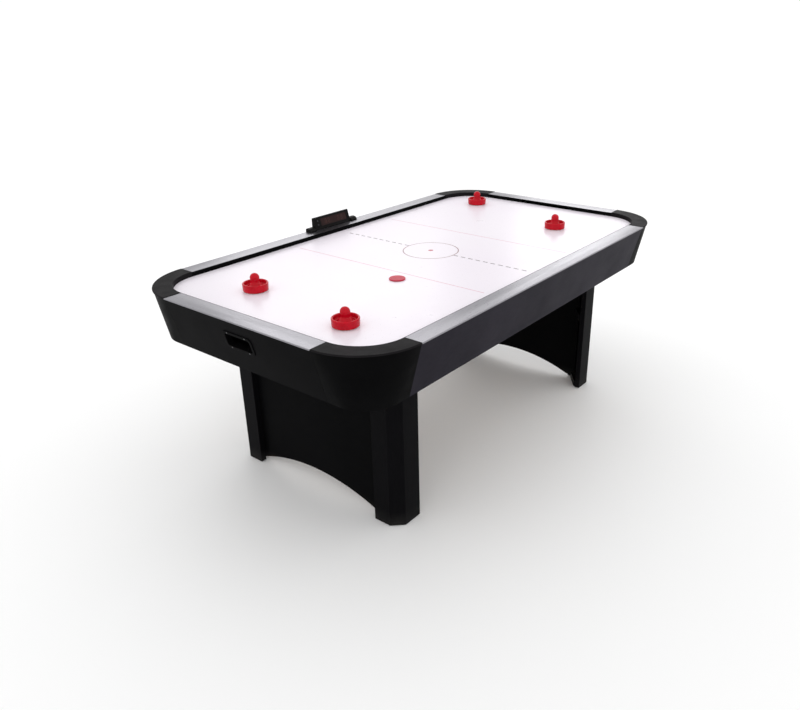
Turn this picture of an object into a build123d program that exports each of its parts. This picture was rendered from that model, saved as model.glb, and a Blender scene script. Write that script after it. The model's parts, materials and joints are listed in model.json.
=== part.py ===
from build123d import *
import math
import os

# Air hockey table, seven foot class. Millimetres.
# X runs along the table, Y across it, Z up. The origin is on the floor under the middle of the playfield.

# Cabinet outline
table_length = 2134
table_width = 1219
rail_top = 820
corner_radius = 240
half_length = table_length / 2
half_width = table_width / 2
corner_x = half_length - corner_radius
corner_y = half_width - corner_radius
seam = 0.6

# Top rails
rail_width = 73
rail_skin = 3
rail_lip = 4
liner_lip = 2
key_width = 5
core_edge = 24
cap_crown = 1.5
cap_wall = 4
cap_rib_low = 806
cap_rib_reach = 213

# Playfield and air chamber
field_top = 802
field_thickness = 12
field_edge = 27
field_corner_radius = 212
field_bottom = field_top - field_thickness
chamber_depth = 45
chamber_half_length = 940
chamber_half_width = 556
chamber_corner_radius = 60
batten = 18
long_rib_y = 190
short_rib_rows = (-660, -440, -220, 220, 440, 660)
notch_width = 70
notch_depth = 14
floor_thickness = 6
chamber_bottom = field_bottom - chamber_depth
floor_bottom = chamber_bottom - floor_thickness

# Aprons: boards that lean in towards the floor
apron_top = rail_top - rail_lip
apron_bottom = 617
apron_thickness = 15
apron_top_inset = 3
apron_bottom_inset = 57
apron_bottom_radius = 131
apron_slope = (apron_bottom_inset - apron_top_inset) / (apron_top - apron_bottom)
apron_lean = math.degrees(math.atan(apron_slope))

# Goals and puck return
goal_width = 300
goal_height = 12
return_width = 126
return_height = 50
return_centre_z = 736
sleeve_wall = 3
sleeve_length = 19
bezel_border = 11
tray_wall = 3
tray_half_width = 164

# Legs
post_side_y = 438
post_end_x = 768
post_inner_x = 644
post_inner_y = 321
post_chamfer_x = 728
post_chamfer_y = 395
post_board = 24
panel_thickness = 16
panel_half_width = 366
panel_foot_z = 18
arch_half_width = 320
arch_top_z = 80
glide_height = 3
glide_radius = 11
head_rail_depth = 38
head_rail_height = 40
bolt_radius = 4
bolt_rows = (-300, -120, 120, 300)

# Blower under the chamber floor
impeller_radius = 60
blade_count = 24
scroll_radius = 68
scroll_growth = 24
scroll_start = -20
scroll_sweep = 290
housing_wall = 2.5
housing_height = 55
motor_radius = 34
motor_height = 38
outlet_end_x = 150
port_near_x = 92
port_far_x = 148
ear_reach = 6
port_low_y = -89
port_high_y = -33
shaft_radius = 3
shaft_clearance = 0.05
housing_top = floor_bottom - motor_height
housing_bottom = housing_top - housing_height

# Scorer on the back rail
scorer_half_width = 114
scorer_front = 584
scorer_back = 608
scorer_lean = 14
plinth_height = 6
display_height = 50
bracket_half_width = 154
bracket_foot = 36
bracket_plate = 2
window_length = 168
window_height = 34
window_x = 12
button_x = -92
button_radius = 4.5
button_rise = 9

# Power panel on the back apron
power_x = 620
power_z = 712
rocker_rest = 8
rocker_pivot = -3

# Strikers and puck
air_gap = 0.3
pad_thickness = 1.7
striker_radius = 48
ball_radius = 17.5
ball_height = 48
striker_places = {
    "near_left": (-785, 210),
    "near_right": (-836, -297),
    "far_left": (827, 327),
    "far_right": (632, -252),
}
puck_radius = 31.75
puck_height = 5
puck_place = (-378, -130)

os.makedirs("parts", exist_ok=True)


def save(shape, node):
    shape.label = node
    export_step(shape, "parts/" + node + ".step")


def block(x0, x1, y0, y1, z0, z1):
    # a box between two corners, used for cutting and for plain battens
    size = Box(x1 - x0, y1 - y0, z1 - z0)
    return Pos((x0 + x1) / 2, (y0 + y1) / 2, (z0 + z1) / 2) * size


def half_turn(shape):
    return Rot(0, 0, 180) * shape


def apron_plane(z, side):
    # a plane lying on the outside of an apron, its normal pointing out and down
    drop = apron_slope * (apron_top - z)
    tilt = math.radians(apron_lean)
    out = math.cos(tilt)
    down = -math.sin(tilt)
    if side == "end":
        return Plane(origin=(half_length - apron_top_inset - drop, 0, z), x_dir=(0, 1, 0), z_dir=(out, 0, down))
    return Plane(origin=(power_x, half_width - apron_top_inset - drop, z), x_dir=(-1, 0, 0), z_dir=(0, out, down))


# ---------------------------------------------------------------- cabinet


def tub(wall):
    # the lofted cabinet body: a large corner radius at the rail and a tighter one at the bottom edge
    top_inset = apron_top_inset + wall
    bottom_inset = apron_bottom_inset + wall
    top = RectangleRounded(
        table_length - 2 * top_inset, table_width - 2 * top_inset, corner_radius - top_inset
    )
    bottom = RectangleRounded(
        table_length - 2 * bottom_inset, table_width - 2 * bottom_inset, apron_bottom_radius - wall
    )
    return loft([Pos(0, 0, apron_bottom) * bottom, Pos(0, 0, apron_top) * top])


def cabinet_panels():
    shell = tub(0) - tub(apron_thickness)
    reach = half_length + 10
    gap = seam / 2
    low = apron_bottom - 1
    high = apron_top + 1
    side = shell & block(gap - corner_x, corner_x - gap, -reach, -corner_y, low, high)
    end = shell & block(corner_x, reach, gap - corner_y, corner_y - gap, low, high)
    corner = shell & block(corner_x + gap, reach, corner_y + gap, reach, low, high)
    return side, end, corner


def return_hole(clearance):
    # the puck return's cut-out, square to the leaning end apron
    width = return_width + 2 * (sleeve_wall + clearance)
    height = return_height + 2 * (sleeve_wall + clearance)
    hole = extrude(RectangleRounded(width, height, 11 + clearance), amount=60, both=True)
    return apron_plane(return_centre_z, "end").location * hole


def return_bezel():
    # flange outside the apron and a sleeve through it into the tray
    flange = RectangleRounded(return_width + 2 * bezel_border, return_height + 2 * bezel_border, 17)
    sleeve = RectangleRounded(return_width + 2 * sleeve_wall, return_height + 2 * sleeve_wall, 11)
    mouth = RectangleRounded(return_width, return_height, 8)
    ring = extrude(flange, amount=3)
    ring = fillet(ring.edges().filter_by(Plane.XY).group_by(Axis.Z)[-1], 1.8)
    tube = extrude(sleeve, amount=-sleeve_length)
    hole = extrude(mouth, amount=60, both=True)
    return apron_plane(return_centre_z, "end").location * (ring + tube - hole)


def tray_outline(margin):
    # side view of the tray: a floor that falls towards the return, the outer wall along the apron
    gap = 0.5 + margin
    outer = half_length - apron_top_inset - apron_thickness - gap
    top = field_bottom
    low = 703
    inner = 966 + margin
    line = Polyline(
        (inner, top),
        (outer - apron_slope * (apron_top - top), top),
        (outer - apron_slope * (apron_top - low), low + margin),
        (inner, low + 14 + margin),
        close=True,
    )
    return make_face(Plane.XZ * line)


def goal_tray():
    # open-topped bin that catches the puck behind the goal
    body = extrude(tray_outline(0), amount=tray_half_width, both=True)
    hollow = extrude(tray_outline(tray_wall), amount=tray_half_width - tray_wall, both=True)
    hollow_top = block(966 + tray_wall, 1040, tray_wall - tray_half_width, tray_half_width - tray_wall, 775, 791)
    hollow_top = hollow_top & extrude(tray_outline(tray_wall), amount=tray_half_width, both=True)
    flange = block(948, 967, -tray_half_width, tray_half_width, field_bottom - 3, field_bottom)
    rib_places = (-110, 0, 110)
    tray = body - hollow - hollow_top + flange
    for y in rib_places:
        rib = make_face(Plane.XZ * Polyline((950, 788), (967, 788), (967, 750), close=True))
        tray += Pos(0, y, 0) * extrude(rib, amount=1.5, both=True)
    return tray - return_hole(0.3)


# ---------------------------------------------------------------- rails


def rail_cover_section():
    # aluminium extrusion: outer lip with a rounded edge, and a key rib underneath
    key = rail_width / 2
    line = Polyline(
        (0, apron_top),
        (0, rail_top),
        (rail_width - liner_lip, rail_top),
        (rail_width - liner_lip, rail_top - rail_skin),
        (key + key_width / 2, rail_top - rail_skin),
        (key + key_width / 2, rail_top - 2 * rail_skin),
        (key - key_width / 2, rail_top - 2 * rail_skin),
        (key - key_width / 2, rail_top - rail_skin),
        (rail_skin, rail_top - rail_skin),
        (rail_skin, apron_top),
        close=True,
    )
    face = make_face(line)
    edge = face.vertices().group_by(Axis.Y)[-1].sort_by(Axis.X)[0]
    return fillet(edge, 2.4)


def rail_core_section():
    # black core under the cover: its inner face is the rink wall, and its lip hides the cover's edge
    fit = 0.15
    key = rail_width / 2
    half_key = key_width / 2 + fit
    under = rail_top - rail_skin
    line = Polyline(
        (rail_skin + fit, apron_top),
        (rail_skin + fit, under),
        (key - half_key, under),
        (key - half_key, under - rail_skin - fit),
        (key + half_key, under - rail_skin - fit),
        (key + half_key, under),
        (rail_width - liner_lip + fit, under),
        (rail_width - liner_lip + fit, rail_top),
        (rail_width, rail_top),
        (rail_width, field_top),
        (core_edge, field_top),
        (core_edge, apron_top),
        close=True,
    )
    return make_face(line)


def side_run(section, length):
    # a straight rail along X on the front (-Y) side
    plane = Plane(origin=(0, -half_width, 0), x_dir=(0, 1, 0), z_dir=(1, 0, 0))
    return extrude(plane * section, amount=length / 2, both=True)


def end_run(section, length):
    # a straight rail along Y on the far (+X) end
    plane = Plane(origin=(half_length, 0, 0), x_dir=(-1, 0, 0), z_dir=(0, 1, 0))
    return extrude(plane * section, amount=length / 2, both=True)


def corner_cap():
    # moulded quarter-round cap: outer lip, crowned top, inner rink wall, ribs between them
    top = rail_top + cap_crown
    inner = corner_radius - rail_width
    line = Polyline(
        (corner_radius, apron_top),
        (corner_radius, top),
        (inner, top),
        (inner, field_top),
        (inner + cap_wall, field_top),
        (inner + cap_wall, top - cap_wall),
        (corner_radius - cap_wall, top - cap_wall),
        (corner_radius - cap_wall, apron_top),
        close=True,
    )
    section = make_face(line)
    section = fillet(section.vertices().group_by(Axis.Y)[-1], 3.2)
    quarter = revolve(Plane.XZ * section, Axis.Z, 90)
    for angle in (2, 24, 45, 66, 88):
        rib = block(inner + cap_wall / 2, cap_rib_reach, -1.5, 1.5, cap_rib_low, top - cap_wall / 2)
        quarter += Rot(0, 0, angle) * rib
    trim = seam / 2
    quarter = quarter & block(trim, 300, trim, 300, 700, 900)
    return Pos(corner_x, corner_y, 0) * quarter


def rails():
    side_length = 2 * corner_x - seam
    end_length = 2 * corner_y - seam
    side_cover = side_run(rail_cover_section(), side_length)
    end_cover = end_run(rail_cover_section(), end_length)
    side_core = side_run(rail_core_section(), side_length)
    end_core = end_run(rail_core_section(), end_length)
    slot_inner = half_length - rail_width - 1
    slot = block(slot_inner, half_length - 20, -goal_width / 2, goal_width / 2, field_top - 1, field_top + goal_height)
    return side_cover, end_cover, side_core, end_core - slot


# ---------------------------------------------------------------- playfield and chamber


def playfield():
    board = extrude(
        RectangleRounded(table_length - 2 * field_edge, table_width - 59, field_corner_radius),
        amount=field_thickness,
    )
    board = Pos(0, 0, field_bottom) * board
    drop_edge = half_length - rail_width + 2
    half_drop = goal_width / 2 + 5
    for side in (-1, 1):
        centre = side * (drop_edge + 50)
        board -= Pos(centre, 0, field_top) * Box(100, 2 * half_drop, 40)
    return board


def chamber_outline(inset):
    length = 2 * (chamber_half_length - inset)
    width = 2 * (chamber_half_width - inset)
    return RectangleRounded(length, width, chamber_corner_radius - inset)


def chamber_board(x0, x1, y0, y1, notches):
    # one batten of the frame; the air passes through the notches in its top edge
    board = block(x0, x1, y0, y1, chamber_bottom, field_bottom)
    for x, y in notches:
        board -= Pos(x, y, field_bottom) * Box(notch_width, notch_width, 2 * notch_depth)
    return board


def chamber_frame():
    # perimeter battens, two long ribs and rows of short ribs between them, all glued to the playfield
    ring = extrude(chamber_outline(0) - chamber_outline(batten), amount=chamber_depth)
    ring = Pos(0, 0, chamber_bottom) * ring
    straight = chamber_half_length - chamber_corner_radius
    reach = chamber_half_length + 1
    gap = seam / 2
    boards = []
    boards += list((ring & block(gap - straight, straight - gap, -reach, reach, 700, 800)).solids())
    boards += list((ring & block(straight, reach, -reach, reach, 700, 800)).solids())
    boards += list((ring & block(-reach, -straight, -reach, reach, 700, 800)).solids())
    inner_x = chamber_half_length - batten - gap
    inner_y = chamber_half_width - batten - gap
    half = batten / 2
    for y in (-long_rib_y, long_rib_y):
        boards.append(chamber_board(-inner_x, inner_x, y - half, y + half, [(x, y) for x in (-550, 0, 550)]))
    bays = (
        (-inner_y, -long_rib_y - half - gap),
        (half + gap - long_rib_y, long_rib_y - half - gap),
        (long_rib_y + half + gap, inner_y),
    )
    for x in short_rib_rows:
        for low, high in bays:
            boards.append(chamber_board(x - half, x + half, low, high, [(x, (low + high) / 2)]))
    return Compound(children=boards)


def chamber_floor():
    plate = Pos(0, 0, floor_bottom) * extrude(chamber_outline(0), amount=floor_thickness)
    plate -= block(port_near_x, port_far_x, port_low_y, port_high_y, floor_bottom - 5, chamber_bottom + 5)
    for x in (-head_rail_x(), head_rail_x()):
        for y in bolt_rows:
            plate -= Pos(x, y, floor_bottom) * Cylinder(bolt_radius + 0.3, 40)
    return plate


# ---------------------------------------------------------------- blower


def scroll_point(turn, inset):
    # turn runs from 0 at the tongue to 1 where the casing meets its outlet
    radius = scroll_radius + scroll_growth * turn - inset
    angle = math.radians(scroll_start + scroll_sweep * turn)
    return (radius * math.cos(angle), radius * math.sin(angle))


def scroll_outline(inset):
    # spiral casing that runs out tangentially into a straight outlet
    points = [scroll_point(step / 8, inset) for step in range(9)]
    low = -scroll_radius - scroll_growth + inset
    spiral = Spline(points, tangents=[(0.3, 1), (1, -0.05)])
    outlet = Polyline(
        points[-1],
        (outlet_end_x - inset, low),
        (outlet_end_x - inset, port_high_y + 3 - inset),
        points[0],
    )
    return make_face([spiral, outlet])


def blower_neck(margin):
    # rectangular duct from the casing's outlet up through the chamber floor
    return block(
        port_near_x + margin,
        port_far_x - margin,
        port_low_y + margin,
        port_high_y - margin,
        housing_top - housing_wall - margin,
        floor_bottom + margin,
    )


def blower_housing():
    shell = Pos(0, 0, housing_bottom) * extrude(scroll_outline(0), amount=housing_height)
    cavity = extrude(scroll_outline(housing_wall), amount=housing_height - 2 * housing_wall)
    cavity = Pos(0, 0, housing_bottom + housing_wall) * cavity
    neck = blower_neck(0.5) & block(0, 200, -200, 0, housing_top - 1, floor_bottom)
    intake = Pos(0, 0, housing_bottom) * Cylinder(44, 12)
    motor_seat = Pos(0, 0, housing_top) * Cylinder(9, 12)
    housing = shell + neck - cavity - blower_neck(3) - intake - motor_seat
    for x, y in blower_mount_places():
        ear = Pos(x, y, housing_top - 4) * (Cylinder(12, 8) - Cylinder(3, 8))
        housing += ear - cavity
    return housing


def blower_mount_places():
    # screw ears just outside the casing
    return [scroll_point(turn, -ear_reach) for turn in (0.2, 0.52, 0.85)]


def blower_mounts():
    # rubber posts that hang the casing from the chamber floor
    posts = []
    for x, y in blower_mount_places():
        post = Pos(x, y, (housing_top + floor_bottom) / 2) * Cylinder(8, motor_height)
        posts.append(post - Pos(x, y, (housing_top + floor_bottom) / 2) * Cylinder(2.5, motor_height + 2))
    return Compound(children=posts)


def blower_impeller():
    # squirrel-cage wheel: a back plate, a front ring and forward-curved blades between them
    height = 44
    inner = 46
    plate = Pos(0, 0, height - 2) * Cylinder(impeller_radius, 2, align=(Align.CENTER, Align.CENTER, Align.MIN))
    ring = Cylinder(impeller_radius, 2, align=(Align.CENTER, Align.CENTER, Align.MIN))
    ring -= Cylinder(inner + 1, 2, align=(Align.CENTER, Align.CENTER, Align.MIN))
    hub = Pos(0, 0, height - 20) * Cylinder(9, 20, align=(Align.CENTER, Align.CENTER, Align.MIN))
    blade_line = ThreePointArc((inner, 0), (inner + 8, 3.2), (impeller_radius - 1, 11))
    blade = extrude(trace(blade_line, 1.4), amount=height - 1)
    wheel = plate + ring + hub
    for index in range(blade_count):
        wheel += Rot(0, 0, index * 360 / blade_count) * Pos(0, 0, 0.5) * blade
    wheel -= Pos(0, 0, height - 15) * Cylinder(shaft_radius + shaft_clearance, 40)
    return Pos(0, 0, housing_bottom + 5) * wheel


def blower_motor():
    # can motor standing on the casing, its shaft reaching down into the wheel's hub
    can = Pos(0, 0, housing_top) * Cylinder(
        motor_radius, motor_height - 3, align=(Align.CENTER, Align.CENTER, Align.MIN)
    )
    can = fillet(can.edges().group_by(Axis.Z)[-1], 5)
    for angle in range(0, 360, 45):
        fin = Rot(0, 0, angle) * Pos(motor_radius, 0, housing_top + 16) * Box(5, 4, 22)
        can += fin
    boss = Pos(0, 0, housing_top - housing_wall) * Cylinder(8.5, 2 * housing_wall)
    shaft = Pos(0, 0, housing_top - 11) * Cylinder(shaft_radius, 24)
    return can + boss + shaft


def blower_guard():
    # wire-style intake guard: concentric rings on four spokes
    face = Circle(54) - Circle(49)
    for radius in (13, 25, 37):
        face += Circle(radius + 1.5) - Circle(radius - 1.5)
    for angle in (0, 45, 90, 135):
        face += Rot(0, 0, angle) * Rectangle(102, 3)
    for angle in (30, 150, 270):
        face += Rot(0, 0, angle) * Pos(57, 0) * Circle(5)
    return Pos(0, 0, housing_bottom - 3) * extrude(face, amount=3)


# ---------------------------------------------------------------- legs


def head_rail_x():
    return post_end_x - post_board - panel_thickness - head_rail_depth / 2


def leg_post():
    # one corner post of wrapped board: side board, chamfered nose and end board folded from one strip
    inner_x = post_end_x - post_board
    inner_y = post_side_y - post_board
    corner_cut = 9
    line = Polyline(
        (post_inner_x, post_side_y),
        (post_chamfer_x, post_side_y),
        (post_end_x, post_chamfer_y),
        (post_end_x, post_inner_y),
        (inner_x, post_inner_y),
        (inner_x, post_chamfer_y - corner_cut),
        (post_chamfer_x - corner_cut, inner_y),
        (post_inner_x, inner_y),
        close=True,
    )
    post = extrude(make_face(line), amount=floor_bottom - glide_height)
    post = Pos(0, 0, glide_height) * post
    upright = post.edges().filter_by(Axis.Z)
    outer = [e for e in upright if e.center().X > post_end_x - 1 or e.center().Y > post_side_y - 1]
    return fillet(outer, 1.5)


def leg_panel():
    # cross panel between two posts with a long arch along its foot
    top = floor_bottom
    line = [
        Line((-panel_half_width, panel_foot_z), (-arch_half_width, panel_foot_z)),
        ThreePointArc((-arch_half_width, panel_foot_z), (0, arch_top_z), (arch_half_width, panel_foot_z)),
        Polyline(
            (arch_half_width, panel_foot_z),
            (panel_half_width, panel_foot_z),
            (panel_half_width, top),
            (-panel_half_width, top),
            (-panel_half_width, panel_foot_z),
        ),
    ]
    back = post_end_x - post_board - panel_thickness
    plane = Plane(origin=(back, 0, 0), x_dir=(0, 1, 0), z_dir=(1, 0, 0))
    panel = extrude(plane * make_face(line), amount=panel_thickness)
    return panel


def post_block(z, height):
    # glue block that closes the fold of a post
    back = post_end_x - post_board
    line = Polyline(
        (post_inner_x + 6, post_side_y - post_board),
        (post_chamfer_x - 9, post_side_y - post_board),
        (back, post_chamfer_y - 9),
        (back, panel_half_width + 1),
        (back - panel_thickness - 1, panel_half_width + 1),
        (back - panel_thickness - 1, panel_half_width - 20),
        (post_inner_x + 6, post_side_y - post_board - 10),
        close=True,
    )
    return Pos(0, 0, z) * extrude(make_face(line), amount=height)


def head_rail():
    # cross rail behind the panel that bolts up to the chamber floor
    bar = Pos(head_rail_x(), 0, floor_bottom - head_rail_height / 2) * Box(
        head_rail_depth, 2 * panel_half_width - 60, head_rail_height
    )
    for y in bolt_rows:
        bar -= Pos(head_rail_x(), y, floor_bottom) * Cylinder(bolt_radius + 0.3, 100)
    return bar


def leg_bolt(x, y):
    # hex bolt and washer from below
    bottom = floor_bottom - head_rail_height
    washer = Pos(x, y, bottom - 0.8) * Cylinder(9, 1.6)
    head = Pos(x, y, bottom - 7) * extrude(RegularPolygon(7.5, 6), amount=5.4)
    length = head_rail_height + floor_thickness + 8
    shank = Pos(x, y, bottom - 1.6) * Cylinder(bolt_radius, length, align=(Align.CENTER, Align.CENTER, Align.MIN))
    nut = Pos(x, y, chamber_bottom) * (extrude(RegularPolygon(7.5, 6), amount=5))
    return washer + head + shank + nut


def four_corners(shape):
    # the piece in the far back corner, and its three mirror images
    back_near = mirror(shape, about=Plane.YZ)
    front_far = mirror(shape, about=Plane.XZ)
    front_near = mirror(front_far, about=Plane.YZ)
    return {"far_left": shape, "near_left": back_near, "far_right": front_far, "near_right": front_near}


# ---------------------------------------------------------------- scorer


def scorer_bracket():
    # strap along the rail with a clamp foot at each end
    strap = block(-bracket_half_width, bracket_half_width, 588, 604, rail_top, rail_top + bracket_plate)
    section = make_face(
        Polyline((576, 0), (576, 5), (586, 15), (603, 17), (609, 12), (609, 0), close=True)
    )
    section = fillet(section.vertices().group_by(Axis.Y)[1:], 2)
    plane = Plane(origin=(0, 0, rail_top), x_dir=(0, 1, 0), z_dir=(1, 0, 0))
    foot = extrude(plane * section, amount=bracket_foot)
    feet = Pos(bracket_half_width - bracket_foot, 0, 0) * foot + Pos(-bracket_half_width, 0, 0) * foot
    return strap + feet


def scorer_base():
    # plinth that straddles the strap and carries the display
    low = rail_top
    line = Polyline(
        (scorer_front - 2, low + 0.3),
        (scorer_front - 2, low + 4),
        (scorer_front, low + plinth_height),
        (scorer_back, low + plinth_height),
        (scorer_back, low + 0.3),
        (604.5, low + 0.3),
        (604.5, low + bracket_plate + 0.3),
        (587.5, low + bracket_plate + 0.3),
        (587.5, low + 0.3),
        close=True,
    )
    half = scorer_half_width + 2
    plane = Plane(origin=(-half, 0, 0), x_dir=(0, 1, 0), z_dir=(1, 0, 0))
    return extrude(plane * make_face(line), amount=2 * half)


def window_plane(x, rise):
    # on the leaning front of the display housing, rise up the slope from its middle
    length = math.hypot(display_height, scorer_lean)
    up = (0, scorer_lean / length, display_height / length)
    middle_y = scorer_front + scorer_lean / 2
    middle_z = rail_top + plinth_height + display_height / 2
    origin = (x, middle_y + rise * up[1], middle_z + rise * up[2])
    return Plane(origin=origin, x_dir=(1, 0, 0), z_dir=(0, -up[2], up[1]))


def scorer_housing():
    # wedge-shaped case with a recess for the window and two button wells
    low = rail_top + plinth_height
    high = low + display_height
    front = scorer_front
    line = Polyline(
        (front, low), (front + scorer_lean, high), (scorer_back, high), (scorer_back, low), close=True
    )
    section = make_face(line)
    section = fillet(section.vertices().group_by(Axis.Y)[-1], 3)
    plane = Plane(origin=(-scorer_half_width, 0, 0), x_dir=(0, 1, 0), z_dir=(1, 0, 0))
    box = extrude(plane * section, amount=2 * scorer_half_width)
    recess = extrude(RectangleRounded(window_length + 0.4, window_height + 0.4, 3), amount=3, both=True)
    box -= window_plane(window_x, 0).location * recess
    for rise in (-button_rise, button_rise):
        box -= window_plane(button_x, rise).location * Cylinder(button_radius + 0.4, 17)
    return box


def scorer_window():
    pane = extrude(RectangleRounded(window_length, window_height, 2.8), amount=2)
    return window_plane(window_x, 0).location * Pos(0, 0, -3) * pane


def scorer_button(rise):
    body = Cylinder(button_radius, 8)
    body = fillet(body.edges().group_by(Axis.Z)[-1], 1)
    return window_plane(button_x, rise).location * Pos(0, 0, -2) * body


# ---------------------------------------------------------------- power panel


def power_local(shape):
    return apron_plane(power_z, "side").location * shape


def power_hole():
    return power_local(Box(76, 34, 80))


def power_panel():
    # moulded plate over the apron's cut-out, with a window each for the inlet and the rocker
    plate = extrude(RectangleRounded(96, 50, 6), amount=2.5)
    plate = fillet(plate.edges().group_by(Axis.Z)[-1], 1.2)
    tub_out = extrude(Rectangle(74, 32), amount=-10)
    plate += tub_out
    plate -= Pos(-17, 0, 0) * Box(28.4, 22.4, 60)
    plate -= Pos(20, 0, 0) * Box(22, 27.4, 60)
    return power_local(plate)


def power_inlet():
    # chassis inlet: chamfered socket with three blade pins
    shroud = Pos(-17, 0, -9.5) * Box(28, 22, 22)
    socket = make_face(Polyline((-12, -8), (12, -8), (12, 4), (8, 8), (-8, 8), (-12, 4), close=True))
    shroud -= Pos(-17, 0, -15) * extrude(socket, amount=30)
    shroud += Pos(-17, 3.5, -10) * Box(2, 4, 12)
    shroud += Pos(-24, -2, -10) * Box(2, 4, 12)
    shroud += Pos(-10, -2, -10) * Box(2, 4, 12)
    return power_local(shroud)


def rocker_switch():
    # rocker key: a shallow V on top, resting with its lower half pressed in
    section = make_face(
        Polyline((-12.6, 1), (-12.6, 6.2), (0, 4.6), (12.6, 6.2), (12.6, 1), (3, -5), (-3, -5), close=True)
    )
    plane = Plane(origin=(0, 0, 0), x_dir=(0, 1, 0), z_dir=(1, 0, 0))
    key = extrude(plane * section, amount=10.5, both=True)
    key = Rot(rocker_rest, 0, 0) * key
    return power_local(Pos(20, 0, rocker_pivot) * key)


# ---------------------------------------------------------------- strikers and puck


def striker_body():
    # half section turned about Z: rounded foot, tall rim, dished floor, flared knob with a ball top
    ball_45 = ball_radius * math.sqrt(0.5)
    outline = [
        Line((0, 0), (43, 0)),
        ThreePointArc((43, 0), (45.9, 1.1), (47, 4)),
        Line((47, 4), (striker_radius, 25.5)),
        ThreePointArc((striker_radius, 25.5), (44.3, 29.2), (40.6, 25.5)),
        Line((40.6, 25.5), (39, 17.5)),
        ThreePointArc((39, 17.5), (36.4, 13.9), (32, 13.6)),
        Spline((32, 13.6), (24, 20.5), (17.6, 32), (ball_radius, ball_height), tangents=[(-1, 0.35), (0, 1)]),
        ThreePointArc((ball_radius, ball_height), (ball_45, ball_height + ball_45), (0, ball_height + ball_radius)),
        Line((0, ball_height + ball_radius), (0, 0)),
    ]
    return revolve(Plane.XZ * make_face(outline), Axis.Z, 360)


def striker_pad():
    # felt ring glued under the foot
    return extrude(Circle(43) - Circle(24), amount=pad_thickness)


def place_striker(shape, spot, lift):
    x, y = spot
    return Pos(x, y, field_top + air_gap + lift) * shape


def puck():
    disc = Cylinder(puck_radius, puck_height, align=(Align.CENTER, Align.CENTER, Align.MIN))
    disc = fillet(disc.edges(), 1.1)
    return Pos(puck_place[0], puck_place[1], field_top + air_gap) * disc


# ---------------------------------------------------------------- build


def build_cabinet():
    side, end, corner = cabinet_panels()
    save(side, "front_apron")
    save(half_turn(side) - power_hole(), "back_apron")
    end = end - return_hole(0.3)
    save(end, "far_apron")
    save(half_turn(end), "near_apron")
    for place, piece in four_corners(corner).items():
        save(piece, "corner_panel_" + place)
    for place, piece in four_corners(corner_cap()).items():
        save(piece, "corner_cap_" + place)
    side_cover, end_cover, side_core, end_core = rails()
    save(side_cover, "front_rail")
    save(half_turn(side_cover), "back_rail")
    save(end_cover, "far_rail")
    save(half_turn(end_cover), "near_rail")
    save(side_core, "front_rail_core")
    save(half_turn(side_core), "back_rail_core")
    save(end_core, "far_rail_core")
    save(half_turn(end_core), "near_rail_core")
    bezel = return_bezel()
    tray = goal_tray()
    save(bezel, "far_return_bezel")
    save(half_turn(bezel), "near_return_bezel")
    save(tray, "far_goal_tray")
    save(half_turn(tray), "near_goal_tray")


def build_chamber():
    save(playfield(), "playfield")
    save(chamber_frame(), "chamber_frame")
    save(chamber_floor(), "chamber_floor")
    save(blower_housing(), "blower_housing")
    save(blower_mounts(), "blower_mounts")
    save(blower_impeller(), "blower_impeller")
    save(blower_motor(), "blower_motor")
    save(blower_guard(), "blower_guard")


def build_legs():
    for place, piece in four_corners(leg_post()).items():
        save(piece, "leg_post_" + place)
    panel = leg_panel()
    save(panel, "leg_panel_far")
    save(half_turn(panel), "leg_panel_near")
    rail = head_rail()
    save(Compound(children=[rail, half_turn(rail)]), "leg_head_rails")
    blocks = []
    for z in (glide_height, 360):
        blocks += list(four_corners(post_block(z, 30)).values())
    save(Compound(children=blocks), "post_blocks")
    bolts = [leg_bolt(x, y) for x in (-head_rail_x(), head_rail_x()) for y in bolt_rows]
    save(Compound(children=bolts), "leg_bolts")
    glides = []
    disc = Cylinder(glide_radius, glide_height, align=(Align.CENTER, Align.CENTER, Align.MIN))
    disc = chamfer(disc.edges().group_by(Axis.Z)[0], 1)
    for x, y in ((686, post_side_y - post_board / 2), (post_end_x - post_board / 2, 350)):
        glides += list(four_corners(Pos(x, y, 0) * disc).values())
    save(Compound(children=glides), "foot_glides")


def build_fittings():
    save(scorer_bracket(), "scorer_bracket")
    save(scorer_base(), "scorer_base")
    save(scorer_housing(), "scorer_housing")
    save(scorer_window(), "scorer_window")
    save(scorer_button(button_rise), "scorer_reset_button")
    save(scorer_button(-button_rise), "scorer_mode_button")
    save(power_panel(), "power_panel")
    save(power_inlet(), "power_inlet")
    save(rocker_switch(), "rocker_switch")


def build_play_pieces():
    body = striker_body()
    pad = striker_pad()
    for name, spot in striker_places.items():
        save(place_striker(body, spot, pad_thickness), "striker_" + name)
        save(place_striker(pad, spot, 0), "striker_pad_" + name)
    save(puck(), "puck")


build_cabinet()
build_chamber()
build_legs()
build_fittings()
build_play_pieces()
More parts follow.
